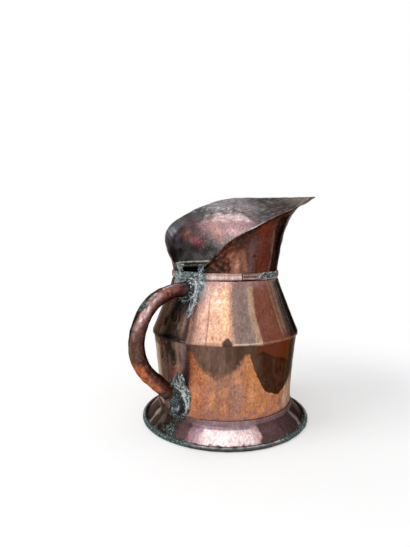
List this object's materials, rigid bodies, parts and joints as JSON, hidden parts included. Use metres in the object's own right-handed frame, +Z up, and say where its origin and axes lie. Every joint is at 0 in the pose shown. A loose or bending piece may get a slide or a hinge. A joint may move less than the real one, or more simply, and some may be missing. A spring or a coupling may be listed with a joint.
{
  "type": "copper pitcher",
  "caption": "Soldered sheet-copper pitcher with a flared foot, conical shoulder, scoop-shaped pouring hood and round tube handle.",
  "frame": {"origin": "on the surface that the foot stands on, under the middle of the pitcher's length and width; the body's own upright axis is at x = -0.043 m", "axes": "+X from the handle towards the pouring tip of the spout, +Y to the left of that, +Z up"},
  "size_m": [0.3962, 0.2122, 0.2984],
  "materials": {
    "body_copper": "old copper, orange with brown patches, burnished by use",
    "shoulder_copper": "old copper, peach with grey-brown bands, hammered smooth",
    "plate_copper": "old copper, dull brown",
    "foot_copper": "old copper, pinkish where rubbed, dark brown and verdigris along the rolled edge",
    "iron_wire": "bare iron wire, rusted",
    "band_copper": "old copper, pinkish brown",
    "hood_copper": "old copper, dark brown and purple outside, tarnished grey inside",
    "pale_strip": "tinned strip, pale grey-green",
    "handle_copper": "old copper, red-brown, darker on top",
    "solder": "lead-tin solder, dull grey with green and white crusts"
  },
  "bodies": {
    "root": {"lower_body": "body_copper", "shoulder_cone": "shoulder_copper", "base_plate": "plate_copper", "foot_skirt": "foot_copper", "foot_wire": "iron_wire", "neck_band": "band_copper", "spout_hood": "hood_copper", "inner_bead": "pale_strip", "handle_tube": "handle_copper", "upper_handle_solder": "solder", "lower_handle_solder": "solder", "neck_solder_patch": "solder", "hood_end_solder_left": "solder", "hood_end_solder_right": "solder"}
  },
  "joints": []
}
